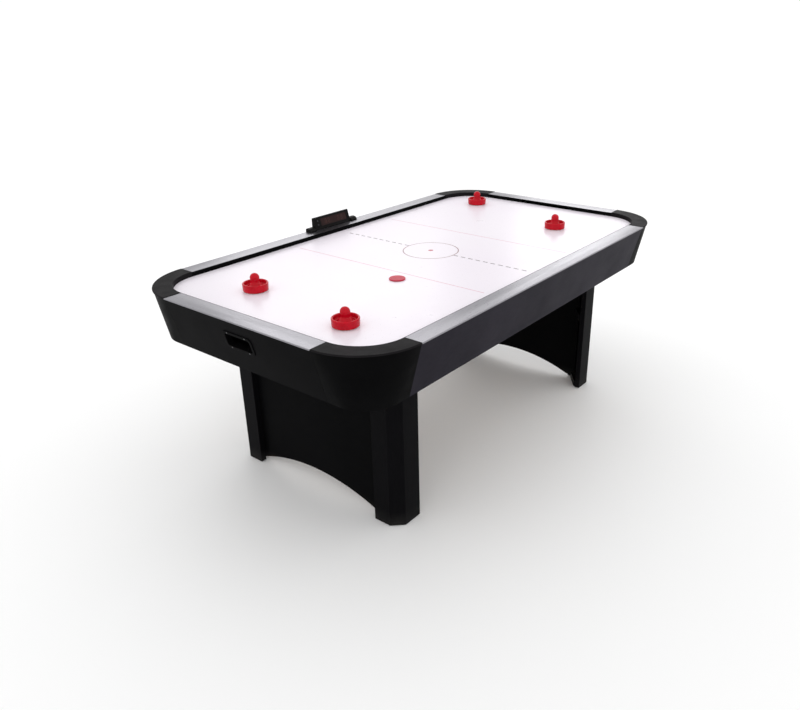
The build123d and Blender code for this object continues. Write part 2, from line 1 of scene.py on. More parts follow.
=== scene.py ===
import json
import math
import bpy
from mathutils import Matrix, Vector

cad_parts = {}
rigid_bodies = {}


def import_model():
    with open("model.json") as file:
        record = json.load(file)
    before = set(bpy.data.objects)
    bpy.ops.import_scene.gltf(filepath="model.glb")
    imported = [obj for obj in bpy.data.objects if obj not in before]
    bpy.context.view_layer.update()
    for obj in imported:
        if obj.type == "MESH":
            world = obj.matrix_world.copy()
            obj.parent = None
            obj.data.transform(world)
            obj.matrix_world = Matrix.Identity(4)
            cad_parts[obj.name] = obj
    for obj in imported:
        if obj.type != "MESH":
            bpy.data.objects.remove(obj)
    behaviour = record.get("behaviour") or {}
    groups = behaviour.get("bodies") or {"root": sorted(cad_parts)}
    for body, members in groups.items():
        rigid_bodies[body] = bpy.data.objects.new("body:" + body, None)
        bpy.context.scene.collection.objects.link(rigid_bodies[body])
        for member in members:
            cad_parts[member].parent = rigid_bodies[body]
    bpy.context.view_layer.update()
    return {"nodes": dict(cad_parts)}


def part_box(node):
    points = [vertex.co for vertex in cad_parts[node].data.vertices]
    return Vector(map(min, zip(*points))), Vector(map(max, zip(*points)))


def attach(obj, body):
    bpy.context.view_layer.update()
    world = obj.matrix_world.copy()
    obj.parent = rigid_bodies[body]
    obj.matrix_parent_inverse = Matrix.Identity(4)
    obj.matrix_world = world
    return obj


for thing in list(bpy.data.objects):
    bpy.data.objects.remove(thing)  # the start file's cube, lamp and camera
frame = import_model()
nodes = frame["nodes"]
bpy.ops.object.select_all(action="DESELECT")
print("frame loaded:", len(nodes), "nodes")

# camera

cameraLook = {
    "place": (-2.411, -1.878, 1.718),
    "yaw": 37.87,  # degrees from +X towards +Y
    "pitch": 24.16,  # degrees below the horizon
    "roll": 0.54,
    "lens": 33.02,
    "sensor": 36,
    "shift": (-0.0403, -0.0105),
    "clip": (0.05, 100),
}


def placeCamera(look):
    bpy.ops.object.camera_add(location=look["place"])
    camera = bpy.context.object
    camera.name = "camera"
    yaw = math.radians(look["yaw"])
    pitch = math.radians(look["pitch"])
    level = math.cos(pitch)
    aim = Vector((math.cos(yaw) * level, math.sin(yaw) * level, -math.sin(pitch)))
    camera.rotation_euler = aim.to_track_quat("-Z", "Y").to_euler()
    camera.rotation_euler.rotate_axis("Z", -math.radians(look["roll"]))
    camera.data.sensor_width = look["sensor"]
    camera.data.lens = look["lens"]
    camera.data.shift_x, camera.data.shift_y = look["shift"]
    camera.data.clip_start, camera.data.clip_end = look["clip"]
    bpy.context.scene.camera = camera


placeCamera(cameraLook)
print("camera placed")

# floor and lights

studioLook = {
    "floorSize": 60,
    "floorLevel": -0.0005,  # just under the glides
    "floorColour": (0.97, 0.97, 0.97, 1),
    "floorRoughness": 0.75,
    "worldColour": (1.0, 1.0, 1.0, 1),
    "worldStrength": 1.02,
    "ceilingStrength": 0.12,  # broad light from straight above, as from a white ceiling
    "ceilingSpread": 120,
    "softboxes": (
        {
            "name": "backSoftbox",
            "place": (2.5, 3.1, 2.6),
            "target": (0.2, 0, 0.8),
            "size": (2.2, 1.2),
            "power": 16,
        },
        {
            "name": "farSoftbox",
            "place": (3.5, 1.1, 2.0),
            "target": (0.2, -0.5, 0.8),
            "size": (1.0, 0.9),
            "power": 7,
        },
    ),
}


def addSoftbox(look):
    bpy.ops.object.light_add(type="AREA", location=look["place"])
    lamp = bpy.context.object
    lamp.name = look["name"]
    lamp.data.shape = "RECTANGLE"
    lamp.data.size, lamp.data.size_y = look["size"]
    lamp.data.energy = look["power"]
    toward = Vector(look["target"]) - Vector(look["place"])
    lamp.rotation_euler = toward.to_track_quat("-Z", "Y").to_euler()
    lamp.visible_camera = False


def setStudio(look):
    bpy.ops.mesh.primitive_plane_add(size=look["floorSize"], location=(0, 0, look["floorLevel"]))
    floor = bpy.context.object
    floor.name = "studio_floor"
    paint = bpy.data.materials.new("floorPaint")
    paint.use_nodes = True
    shader = paint.node_tree.nodes["Principled BSDF"]
    shader.inputs["Base Color"].default_value = look["floorColour"]
    shader.inputs["Roughness"].default_value = look["floorRoughness"]
    floor.data.materials.append(paint)
    world = bpy.data.worlds.new("studio")
    world.use_nodes = True
    sky = world.node_tree.nodes["Background"]
    sky.inputs["Color"].default_value = look["worldColour"]
    sky.inputs["Strength"].default_value = look["worldStrength"]
    bpy.context.scene.world = world
    bpy.ops.object.light_add(type="SUN", location=(0, 0, 5))
    ceiling = bpy.context.object
    ceiling.name = "ceilingLight"
    ceiling.data.energy = look["ceilingStrength"]
    ceiling.data.angle = math.radians(look["ceilingSpread"])
    for softbox in look["softboxes"]:
        addSoftbox(softbox)
    bpy.context.scene.view_settings.view_transform = "Standard"
    floor.select_set(False)


setStudio(studioLook)
print("studio set")

# material helpers: most return the output socket of the node that they add


def newMaterial(name):
    material = bpy.data.materials.new(name)
    material.use_nodes = True
    return material


def setInputs(material, node, inputs):
    for key, value in inputs.items():
        if isinstance(value, bpy.types.NodeSocket):
            material.node_tree.links.new(value, node.inputs[key])
        else:
            node.inputs[key].default_value = value


def addNode(material, kind, inputs, **settings):
    node = material.node_tree.nodes.new(kind)
    for key, value in settings.items():
        setattr(node, key, value)
    setInputs(material, node, inputs)
    return node


def objectPoint(material, stretch=(1, 1, 1)):
    point = addNode(material, "ShaderNodeTexCoord", {}).outputs["Object"]
    inputs = {"Vector": point, "Scale": stretch}
    return addNode(material, "ShaderNodeMapping", inputs).outputs["Vector"]


def addNoise(material, scale, detail=3.0, rough=0.55, stretch=(1, 1, 1)):
    inputs = {
        "Vector": objectPoint(material, stretch),
        "Scale": scale,
        "Detail": detail,
        "Roughness": rough,
    }
    return addNode(material, "ShaderNodeTexNoise", inputs).outputs["Fac"]


def addPebble(material, scale):
    inputs = {"Vector": objectPoint(material), "Scale": scale}
    return addNode(material, "ShaderNodeTexVoronoi", inputs).outputs["Distance"]


def addMath(material, operation, first, second=0.0, third=0.0):
    inputs = {0: first, 1: second, 2: third}
    return addNode(material, "ShaderNodeMath", inputs, operation=operation).outputs["Value"]


def addMix(material, first, second, share):
    # two values mixed, with this share of the first
    rest = addMath(material, "MULTIPLY", second, 1 - share)
    return addMath(material, "MULTIPLY_ADD", first, share, rest)


def addSpan(material, value, low, high, start=0.25, end=0.75):
    # a noise value between start and end becomes a number between low and high
    inputs = {"Value": value, "From Min": start, "From Max": end, "To Min": low, "To Max": high}
    return addNode(material, "ShaderNodeMapRange", inputs).outputs["Result"]


def addBlend(material, amount, first, second):
    inputs = {"Factor": amount, 6: first, 7: second}
    return addNode(material, "ShaderNodeMix", inputs, data_type="RGBA").outputs[2]


def addBump(material, height, look):
    inputs = {"Height": height, "Strength": look["bump"], "Distance": look["depth"]}
    return addNode(material, "ShaderNodeBump", inputs).outputs["Normal"]


def setShader(material, inputs):
    setInputs(material, material.node_tree.nodes["Principled BSDF"], inputs)
    return material


def drawnOut(axis, share):
    # the scale of a pattern that is drawn out along one axis, 0 for X to 2 for Z
    return [share if index == axis else 1 for index in range(3)]


def paintNodes(material, names):
    for name in names:
        for slot in nodes[name].material_slots:
            slot.material = material


# vinyl-wrapped board, with a fine pressed grain that runs along it and dust low on the legs

laminateLooks = {
    # a paler, bluish copy of the black laminate: painted reflection of the pale floor on the side
    # aprons
    "sideApronPaintedReflection": {
        "dark": (0.0125, 0.0112, 0.0165, 1),
        "pale": (0.025, 0.0225, 0.031, 1),
        "specular": 0.022,
    },
    # a deeper black copy of the same laminate: painted shade on the end aprons
    "endApronPaintedShade": {
        "dark": (0.0020, 0.0020, 0.0023, 1),
        "pale": (0.0042, 0.0041, 0.0046, 1),
        "specular": 0.012,
    },
    "legPanel": {
        "dark": (0.0016, 0.0016, 0.0018, 1),
        "pale": (0.0032, 0.0032, 0.0036, 1),
        "specular": 0.015,
    },
    "legPost": {
        "dark": (0.0024, 0.0023, 0.0028, 1),
        "pale": (0.0050, 0.0048, 0.0058, 1),
        "specular": 0.024,
    },
}
laminateGrain = {
    "scale": 650,
    "stretch": 0.06,
    "smearScale": 11,
    "mottleScale": 3.5,
    "mottleShare": 0.5,  # the rest of the tint is the grain
    "mottleSpan": (0.35, 0.65),
    "wearShare": 0.65,  # of the smear in the wear; the rest is the grain
    "roughness": (0.36, 0.50),
    "bump": 0.16,
    "depth": 0.0004,
    "dust": (0.05, 0.048, 0.045, 1),
    "dustShare": 0.5,  # at the floor; it fades out at the height below
    "dustHeight": 0.06,
}


def blackLaminate(name, axis, look, grainLook):
    board = newMaterial(name)
    stretch = drawnOut(axis, grainLook["stretch"])
    grain = addNoise(board, grainLook["scale"], detail=4, rough=0.6, stretch=stretch)
    smear = addNoise(board, grainLook["smearScale"], detail=4, rough=0.6)
    patch = addNoise(board, grainLook["mottleScale"])
    mottle = addMix(board, patch, grain, grainLook["mottleShare"])
    cloud = addSpan(board, mottle, 0, 1, *grainLook["mottleSpan"])
    tint = addBlend(board, cloud, look["dark"], look["pale"])
    height = addNode(board, "ShaderNodeSeparateXYZ", {"Vector": objectPoint(board)}).outputs["Z"]
    low = addSpan(board, height, grainLook["dustShare"], 0, 0, grainLook["dustHeight"])
    dusty = addMath(board, "MULTIPLY", low, addSpan(board, smear, 0, 1))
    worn = addMix(board, smear, grain, grainLook["wearShare"])
    return setShader(board, {
        "Base Color": addBlend(board, dusty, tint, grainLook["dust"]),
        "Roughness": addSpan(board, worn, *grainLook["roughness"]),
        "Specular IOR Level": look["specular"],
        "Normal": addBump(board, grain, grainLook),
    })


ends = ("near", "far")
sides = ("left", "right")
corners = [f"{end}_{side}" for end in ends for side in sides]
laminateJobs = (
    # look, axis of the grain, nodes
    ("sideApronPaintedReflection", 0, ["front_apron", "back_apron"]),
    ("endApronPaintedShade", 1, ["near_apron", "far_apron"]),
    ("legPanel", 1, ["leg_panel_near", "leg_panel_far"]),
    ("legPost", 2, [f"leg_post_{corner}" for corner in corners] + ["post_blocks"]),
)
for key, axis, names in laminateJobs:
    laminate = blackLaminate(key + "Laminate", axis, laminateLooks[key], laminateGrain)
    paintNodes(laminate, names)

# moulded plastics, with a fine pebble and faint clouds of flow

plasticLooks = {
    "cornerMoulding": {
        "dark": (0.0020, 0.0020, 0.0022, 1),
        "pale": (0.0038, 0.0038, 0.0041, 1),
        "specular": 0.014,
    },
    "capMoulding": {
        "dark": (0.0085, 0.0078, 0.0085, 1),
        "pale": (0.0155, 0.0142, 0.0155, 1),
        "specular": 0.022,
    },
    "fanPlastic": {
        "dark": (0.014, 0.014, 0.015, 1),
        "pale": (0.022, 0.022, 0.024, 1),
        "specular": 0.35,
    },
    "scorerPlastic": {
        "dark": (0.0045, 0.0042, 0.0042, 1),
        "pale": (0.0078, 0.0072, 0.0072, 1),
        "specular": 0.06,
    },
    "switchPlastic": {
        "dark": (0.006, 0.006, 0.006, 1),
        "pale": (0.011, 0.011, 0.011, 1),
        "specular": 0.4,
    },
    "buttonPlastic": {
        "dark": (0.012, 0.012, 0.013, 1),
        "pale": (0.020, 0.020, 0.022, 1),
        "specular": 0.4,
    },
    "glidePlastic": {
        "dark": (0.12, 0.12, 0.125, 1),
        "pale": (0.18, 0.18, 0.185, 1),
        "specular": 0.4,
    },
}
plasticSkin = {
    "cloudScale": 9,
    "wearScale": 22,
    "pebbleScale": 1300,
    "roughness": (0.38, 0.52),
    "bump": 0.22,
    "depth": 0.0003,
}


def mouldedPlastic(name, look, skin):
    plastic = newMaterial(name)
    cloud = addSpan(plastic, addNoise(plastic, skin["cloudScale"]), 0, 1)
    wear = addNoise(plastic, skin["wearScale"], detail=4)
    return setShader(plastic, {
        "Base Color": addBlend(plastic, cloud, look["dark"], look["pale"]),
        "Roughness": addSpan(plastic, wear, *skin["roughness"]),
        "Specular IOR Level": look["specular"],
        "Normal": addBump(plastic, addPebble(plastic, skin["pebbleScale"]), skin),
    })


plasticJobs = {
    "cornerMoulding": [
        *[f"corner_panel_{corner}" for corner in corners],
        *[f"{side}_rail_core" for side in ("front", "back", "near", "far")],
        *[f"{end}_goal_tray" for end in ends],
        *[f"{end}_return_bezel" for end in ends],
    ],
    "capMoulding": [f"corner_cap_{corner}" for corner in corners],
    "fanPlastic": ["blower_housing", "blower_impeller"],
    "scorerPlastic": ["scorer_housing", "scorer_bracket", "scorer_base"],
    "switchPlastic": ["power_panel", "power_inlet", "rocker_switch"],
    "buttonPlastic": ["scorer_reset_button", "scorer_mode_button"],
    "glidePlastic": ["foot_glides"],
}
for key, names in plasticJobs.items():
    paintNodes(mouldedPlastic(key, plasticLooks[key], plasticSkin), names)

# brushed aluminium rails: hairlines along the rail, with longer and fainter bands under them

railLook = {
    "dark": (0.215, 0.210, 0.230, 1),
    "pale": (0.320, 0.312, 0.338, 1),
    "contrast": (0.35, 0.65),
    "hairScale": 2400,
    "hairStretch": 0.012,
    "hairShare": 0.5,
    "bandScale": 480,
    "bandStretch": 0.03,
    "bandShare": 0.35,
    "waveScale": 2.2,
    "waveShare": 0.15,
    "roughness": (0.24, 0.40),
    "anisotropic": 0.45,
    "bump": 0.12,
    "depth": 0.0003,
}


def brushedRail(name, axis, look):
    rail = newMaterial(name)
    hairWay = drawnOut(axis, look["hairStretch"])
    bandWay = drawnOut(axis, look["bandStretch"])
    hair = addNoise(rail, look["hairScale"], detail=3, rough=0.6, stretch=hairWay)
    band = addNoise(rail, look["bandScale"], detail=3, rough=0.6, stretch=bandWay)
    wave = addNoise(rail, look["waveScale"], detail=2, rough=0.5)
    bands = addMath(rail, "MULTIPLY", band, look["bandShare"])
    lines = addMath(rail, "MULTIPLY_ADD", hair, look["hairShare"], bands)
    mixed = addMath(rail, "MULTIPLY_ADD", wave, look["waveShare"], lines)
    streak = addSpan(rail, mixed, 0, 1, *look["contrast"])
    return setShader(rail, {
        "Base Color": addBlend(rail, streak, look["dark"], look["pale"]),
        "Metallic": 1.0,
        "Roughness": addSpan(rail, band, *look["roughness"]),
        "Anisotropic": look["anisotropic"],
        "Normal": addBump(rail, hair, look),
    })


paintNodes(brushedRail("sideRailAluminium", 0, railLook), ["front_rail", "back_rail"])
paintNodes(brushedRail("endRailAluminium", 1, railLook), ["near_rail", "far_rail"])

# white gloss laminate of the playing surface

fieldLook = {
    "white": (0.800, 0.745, 0.812, 1),
    "warm": (0.822, 0.780, 0.830, 1),
    "cloudScale": 1.6,
    "wearScale": 14,
    "grainScale": 900,
    "roughness": (0.27, 0.33),
    "specular": 0.25,
    "bump": 0.02,
    "depth": 0.0001,
}


def playfieldLaminate(look):
    laminate = newMaterial("whitePlayfieldLaminate")
    cloud = addSpan(laminate, addNoise(laminate, look["cloudScale"], detail=2), 0, 1)
    wear = addNoise(laminate, look["wearScale"], detail=4)
    grain = addNoise(laminate, look["grainScale"], detail=2)
    return setShader(laminate, {
        "Base Color": addBlend(laminate, cloud, look["white"], look["warm"]),
        "Roughness": addSpan(laminate, wear, *look["roughness"]),
        "Specular IOR Level": look["specular"],
        "Normal": addBump(laminate, grain, look),
    })


paintNodes(playfieldLaminate(fieldLook), ["playfield"])

# red plastics of the strikers and the puck

redLooks = {
    "strikerPlastic": {
        "deep": (0.43, 0.002, 0.010, 1),
        "bright": (0.60, 0.004, 0.018, 1),
        "roughness": (0.10, 0.18),
        "specular": 0.16,
    },
    "puckPlastic": {
        "deep": (0.44, 0.018, 0.045, 1),
        "bright": (0.56, 0.030, 0.065, 1),
        "roughness": (0.34, 0.5),
        "specular": 0.15,
    },
}
redSkin = {
    "scuffScale": 240,
    "scuffStretch": 0.25,
    "cloudScale": 26,
    "bump": 0.03,
    "depth": 0.0002,
}


def redPlastic(name, look, skin):
    plastic = newMaterial(name)
    stretch = drawnOut(1, skin["scuffStretch"])
    scuff = addNoise(plastic, skin["scuffScale"], detail=5, rough=0.7, stretch=stretch)
    cloud = addSpan(plastic, addNoise(plastic, skin["cloudScale"], detail=4), 0, 1)
    return setShader(plastic, {
        "Base Color": addBlend(plastic, cloud, look["deep"], look["bright"]),
        "Roughness": addSpan(plastic, scuff, *look["roughness"]),
        "Specular IOR Level": look["specular"],
        "Normal": addBump(plastic, scuff, skin),
    })


strikerRed = redPlastic("strikerPlastic", redLooks["strikerPlastic"], redSkin)
puckRed = redPlastic("puckPlastic", redLooks["puckPlastic"], redSkin)
paintNodes(strikerRed, [f"striker_{corner}" for corner in corners])
paintNodes(puckRed, ["puck"])

# felt under the strikers

feltLook = {
    "deep": (0.46, 0.45, 0.43, 1),
    "pale": (0.78, 0.77, 0.74, 1),
    "fibreScale": 2200,
    "roughness": 0.95,
    "sheen": 0.4,
    "bump": 0.6,
    "depth": 0.0006,
}


def feltPad(look):
    felt = newMaterial("feltPad")
    fibre = addNoise(felt, look["fibreScale"], detail=6, rough=0.75)
    return setShader(felt, {
        "Base Color": addBlend(felt, addSpan(felt, fibre, 0, 1), look["deep"], look["pale"]),
        "Roughness": look["roughness"],
        "Sheen Weight": look["sheen"],
        "Normal": addBump(felt, fibre, look),
    })


paintNodes(feltPad(feltLook), [f"striker_pad_{corner}" for corner in corners])

# bare fibreboard of the air chamber and of the rails that the legs are bolted to

boardLook = {
    "dark": (0.20, 0.125, 0.07, 1),
    "pale": (0.36, 0.25, 0.15, 1),
    "fibreScale": 420,
    "fibreStretch": 0.35,
    "fleckScale": 60,
    "fleckShare": 0.4,  # the rest of the tint is the fibre
    "roughness": 0.82,
    "bump": 0.35,
    "depth": 0.0006,
}


def bareBoard(look):
    board = newMaterial("bareBoard")
    stretch = drawnOut(0, look["fibreStretch"])
    fibre = addNoise(board, look["fibreScale"], detail=6, rough=0.7, stretch=stretch)
    patch = addNoise(board, look["fleckScale"], detail=4)
    fleck = addMix(board, patch, fibre, look["fleckShare"])
    return setShader(board, {
        "Base Color": addBlend(board, addSpan(board, fleck, 0, 1), look["dark"], look["pale"]),
        "Roughness": look["roughness"],
        "Normal": addBump(board, fibre, look),
    })


paintNodes(bareBoard(boardLook), ["chamber_frame", "chamber_floor", "leg_head_rails"])

# zinc-plated and painted steel

metalLooks = {
    "zincSteel": {
        "dark": (0.42, 0.42, 0.40, 1),
        "pale": (0.62, 0.62, 0.58, 1),
        "metallic": 1.0,
        "roughness": (0.28, 0.45),
    },
    "motorPaint": {
        "dark": (0.10, 0.105, 0.115, 1),
        "pale": (0.16, 0.165, 0.175, 1),
        "metallic": 0.35,
        "roughness": (0.38, 0.5),
    },
}
metalSkin = {
    "cloudScale": 90,
    "wearScale": 300,
    "grainScale": 900,
    "bump": 0.1,
    "depth": 0.0003,
}


def finishedSteel(name, look, skin):
    steel = newMaterial(name)
    cloud = addSpan(steel, addNoise(steel, skin["cloudScale"], detail=4), 0, 1)
    return setShader(steel, {
        "Base Color": addBlend(steel, cloud, look["dark"], look["pale"]),
        "Metallic": look["metallic"],
        "Roughness": addSpan(steel, addNoise(steel, skin["wearScale"]), *look["roughness"]),
        "Normal": addBump(steel, addNoise(steel, skin["grainScale"]), skin),
    })


for key, names in (("zincSteel", ["blower_guard", "leg_bolts"]), ("motorPaint", ["blower_motor"])):
    paintNodes(finishedSteel(key, metalLooks[key], metalSkin), names)

# rubber posts that hang the blower

rubberLook = {
    "dark": (0.010, 0.010, 0.010, 1),
    "pale": (0.022, 0.022, 0.022, 1),
    "bloomScale": 60,
    "grainScale": 1200,
    "roughness": 0.82,
    "bump": 0.25,
    "depth": 0.0003,
}


def blackRubber(look):
    rubber = newMaterial("blackRubber")
    bloom = addSpan(rubber, addNoise(rubber, look["bloomScale"]), 0, 1)
    return setShader(rubber, {
        "Base Color": addBlend(rubber, bloom, look["dark"], look["pale"]),
        "Roughness": look["roughness"],
        "Normal": addBump(rubber, addNoise(rubber, look["grainScale"]), look),
    })


paintNodes(blackRubber(rubberLook), ["blower_mounts"])

# smoked window of the scorer

windowLook = {
    "dark": (0.016, 0.006, 0.006, 1),
    "pale": (0.030, 0.012, 0.011, 1),
    "cloudScale": 18,
    "wearScale": 60,
    "roughness": (0.08, 0.16),
    "specular": 0.12,
}


def cloudedFinish(name, look):
    finish = newMaterial(name)
    cloud = addSpan(finish, addNoise(finish, look["cloudScale"]), 0, 1)
    return setShader(finish, {
        "Base Color": addBlend(finish, cloud, look["dark"], look["pale"]),
        "Roughness": addSpan(finish, addNoise(finish, look["wearScale"]), *look["roughness"]),
        "Specular IOR Level": look["specular"],
    })


paintNodes(cloudedFinish("smokedWindow", windowLook), ["scorer_window"])
print("CAD nodes painted")

# modelling helpers


def pickPiece(piece):
    bpy.ops.object.select_all(action="DESELECT")
    piece.select_set(True)
    bpy.context.view_layer.objects.active = piece


def editMode(piece):
    pickPiece(piece)
    bpy.ops.object.mode_set(mode="EDIT")
    bpy.ops.mesh.select_mode(type="FACE")


def editFaces(piece, test):
    # edit mode with only the faces selected that pass the test
    editMode(piece)
    bpy.ops.mesh.select_all(action="DESELECT")
    bpy.ops.object.mode_set(mode="OBJECT")
    for face in piece.data.polygons:
        face.select = test(face)
    bpy.ops.object.mode_set(mode="EDIT")


def raiseFaces(height):
    # a flat piece in edit mode becomes a closed one of this height
    bpy.ops.mesh.extrude_region_move(TRANSFORM_OT_translate={"value": (0, 0, height)})
    bpy.ops.mesh.select_all(action="SELECT")
    bpy.ops.mesh.normals_make_consistent(inside=False)
    bpy.ops.object.mode_set(mode="OBJECT")


def repeatPiece(piece, count, step):
    row = piece.modifiers.new("row", "ARRAY")
    row.use_relative_offset = False
    row.use_constant_offset = True
    row.count = count
    row.constant_offset_displace = step
    bpy.ops.object.modifier_apply(modifier="row")


def copyPiece(piece, place, turn=(0, 0, 0)):
    # a copy with its own mesh
    pickPiece(piece)
    bpy.ops.object.duplicate()
    twin = bpy.context.object
    twin.location = place
    twin.rotation_euler = turn
    return twin


def joinPieces(pieces):
    bpy.ops.object.select_all(action="DESELECT")
    for piece in pieces:
        piece.select_set(True)
    bpy.context.view_layer.objects.active = pieces[0]
    bpy.ops.object.transform_apply(location=True, rotation=True, scale=True)
    bpy.ops.object.join()
    return bpy.context.object


def finishPiece(piece, name, material, body):
    if piece.mode == "EDIT":
        bpy.ops.object.mode_set(mode="OBJECT")
    pickPiece(piece)
    bpy.ops.object.transform_apply(location=True, rotation=True, scale=True)
    piece.name = name
    piece.data.name = name
    piece.data.materials.append(material)
    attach(piece, body)
    piece.select_set(False)


# printed field markings: thin films that stand a tenth of a millimetre proud of the laminate

markings = {
    "film": 0.0001,
    "sunk": 0.00005,  # how far the film reaches down into the laminate
    "circleRadius": 0.119,
    "circleLine": 0.0045,
    "dotRadius": 0.011,
    "dotRim": 0.0006,  # width of the slope round the dot
    "dotRise": 0.4,  # of its middle, as a share of the film
    "crossPlace": 0.309,  # of each cross line, from the middle of the field
    "crossLine": 0.004,
    "crossReach": 0.485,
    "dashFirst": 0.134,
    "dashPitch": 0.037,
    "dashCount": 10,  # on each side of the centre circle
    "dashSize": (0.006, 0.022),
}
inkLooks = {
    "circleInk": {"full": (0.22, 0.11, 0.12, 1), "faded": (0.38, 0.24, 0.26, 1)},
    "crossInk": {"full": (0.62, 0.28, 0.37, 1), "faded": (0.70, 0.46, 0.53, 1)},
    "dashInk": {"full": (0.055, 0.035, 0.045, 1), "faded": (0.16, 0.11, 0.13, 1)},
    "dotInk": {"full": (0.42, 0.07, 0.10, 1), "faded": (0.55, 0.18, 0.22, 1)},
}
inkSkin = {
    "wearScale": 34,
    "grainScale": 420,
    "roughness": (0.28, 0.42),
    "specular": 0.3,
    "bump": 0.05,
    "depth": 0.0001,
}
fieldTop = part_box("playfield")[1].z


def printedInk(name, look, skin):
    ink = newMaterial(name)
    worn = addSpan(ink, addNoise(ink, skin["wearScale"], detail=5, rough=0.7), 0, 1)
    return setShader(ink, {
        "Base Color": addBlend(ink, worn, look["full"], look["faded"]),
        "Roughness": addSpan(ink, worn, *skin["roughness"], 0, 1),
        "Specular IOR Level": skin["specular"],
        "Normal": addBump(ink, addNoise(ink, skin["grainScale"], detail=3), skin),
    })


inks = {name: printedInk(name, look, inkSkin) for name, look in inkLooks.items()}


def finishMarking(piece, name, ink):
    finishPiece(piece, name, inks[ink], "table")


def addFilm(place, size, look):
    bpy.ops.mesh.primitive_plane_add(size=1, location=(*place, fieldTop - look["sunk"]))
    film = bpy.context.object
    film.scale = (*size, 1)
    bpy.ops.object.transform_apply(location=True, rotation=False, scale=True)
    editMode(film)
    bpy.ops.mesh.select_all(action="SELECT")
    raiseFaces(look["film"] + look["sunk"])
    return film


def addDisc(radius, look):
    height = look["film"] + look["sunk"]
    place = (0, 0, fieldTop + (look["film"] - look["sunk"]) / 2)
    bpy.ops.mesh.primitive_cylinder_add(
        vertices=128, radius=radius, depth=height, location=place)
    return bpy.context.object


def addCentreCircle(look):
    ring = addDisc(look["circleRadius"] + look["circleLine"] / 2, look)
    editFaces(ring, lambda face: abs(face.normal.z) > 0.9)
    bpy.ops.mesh.inset(thickness=look["circleLine"], depth=0)
    bpy.ops.mesh.bridge_edge_loops()
    finishMarking(ring, "centre_circle", "circleInk")


def addCentreDot(look):
    dot = addDisc(look["dotRadius"], look)
    editFaces(dot, lambda face: face.normal.z > 0.9)
    bpy.ops.mesh.inset(thickness=look["dotRim"], depth=0)
    bpy.ops.transform.translate(value=(0, 0, look["film"] * look["dotRise"]))
    finishMarking(dot, "centre_dot", "dotInk")


def addCrossLines(look):
    size = (look["crossLine"], 2 * look["crossReach"])
    for end, way in (("near", -1), ("far", 1)):
        line = addFilm((way * look["crossPlace"], 0), size, look)
        finishMarking(line, f"{end}_cross_line", "crossInk")


def addCentreDashes(look):
    for side, way in (("left", 1), ("right", -1)):
        dash = addFilm((0, way * look["dashFirst"]), look["dashSize"], look)
        repeatPiece(dash, look["dashCount"], (0, way * look["dashPitch"], 0))
        finishMarking(dash, f"centre_dashes_{side}", "dashInk")


addCentreCircle(markings)
addCentreDot(markings)
addCrossLines(markings)
addCentreDashes(markings)
print("field marked")

# air holes: one small countersunk mouth, repeated in rows over the field; each is a grey disc,
# painted shade in place of the open hole

holeLook = {
    "radius": 0.00075,
    "rim": 0.0002,
    "pitch": 0.038,
    "columns": 51,
    "rows": 27,
    "proud": 0.00004,
    "cornerRadius": 0.150,  # mouths further than this from a corner's centre are left out
    "cornerCentre": (0.827, 0.3695),
    # grey of the mouths: painted shade in place of the open holes
    "dark": (0.36, 0.34, 0.36, 1),
    "pale": (0.48, 0.46, 0.48, 1),
    "cloudScale": 90,
    "wearScale": 300,
    "roughness": (0.6, 0.85),
    "specular": 0.2,
}


def inCorner(spot, look):
    # whether the mouth at this spot lies past the round corner of the rink
    beyond = []
    for axis in (0, 1):
        mouth = abs(round(spot[axis] / look["pitch"]) * look["pitch"])
        beyond.append(mouth - look["cornerCentre"][axis])
    return min(beyond) > 0 and math.hypot(*beyond) > look["cornerRadius"]


def addAirHoles(look):
    pitch = look["pitch"]
    first = (-(look["columns"] - 1) / 2 * pitch, -(look["rows"] - 1) / 2 * pitch, fieldTop)
    bpy.ops.mesh.primitive_circle_add(
        vertices=8, radius=look["radius"], fill_type="NGON", location=first)
    hole = bpy.context.object
    editMode(hole)
    bpy.ops.mesh.select_all(action="SELECT")
    bpy.ops.transform.translate(value=(0, 0, look["proud"]))
    bpy.ops.mesh.inset(thickness=look["rim"], depth=0)
    bpy.ops.transform.translate(value=(0, 0, -look["proud"] / 2))
    bpy.ops.object.mode_set(mode="OBJECT")
    repeatPiece(hole, look["columns"], (pitch, 0, 0))
    repeatPiece(hole, look["rows"], (0, pitch, 0))
    bpy.ops.object.transform_apply(location=True, rotation=False, scale=False)
    editMode(hole)
    bpy.ops.mesh.select_mode(type="VERT")
    bpy.ops.mesh.select_all(action="DESELECT")
    bpy.ops.object.mode_set(mode="OBJECT")
    for vertex in hole.data.vertices:
        vertex.select = inCorner(vertex.co, look)
    bpy.ops.object.mode_set(mode="EDIT")
    bpy.ops.mesh.delete(type="VERT")
    mouths = cloudedFinish("airHolePaintedShade", look)
    finishPiece(hole, "air_holes", mouths, "table")


addAirHoles(holeLook)
print("air holes made")

# screws: a pan head with a rounded rim and a sunk socket, copied to where each aim meets its node

screwLook = {
    "radius": 0.0026,
    "height": 0.0011,
    "rim": 0.12,  # width of the rounded rim, as a share of the radius
    "rimRise": 0.15,  # as a share of the height
    "socket": 0.0012,  # inset of the socket from the rim
    "socketDepth": 0.0007,
    "socketTaper": 0.03,  # as a share of the radius
    "sunk": 0.0002,
    "dark": (0.10, 0.10, 0.105, 1),
    "pale": (0.20, 0.20, 0.205, 1),
    "turnScale": 900,
    "wearScale": 60,
    "roughness": (0.3, 0.5),
    "bump": 0.15,
    "depth": 0.0001,
}
screwPlaces = {
    "bezelInset": 0.0056,  # from the top and the bottom of the bezel
    "bezelColumns": (-0.045, 0.045),
    "panelInset": 0.006,
    "footInset": 0.012,  # from the ends of the scorer's bracket
    "outside": (1.2, 0.8, 1),  # where the aims along X, Y and Z start, clear of the table
}


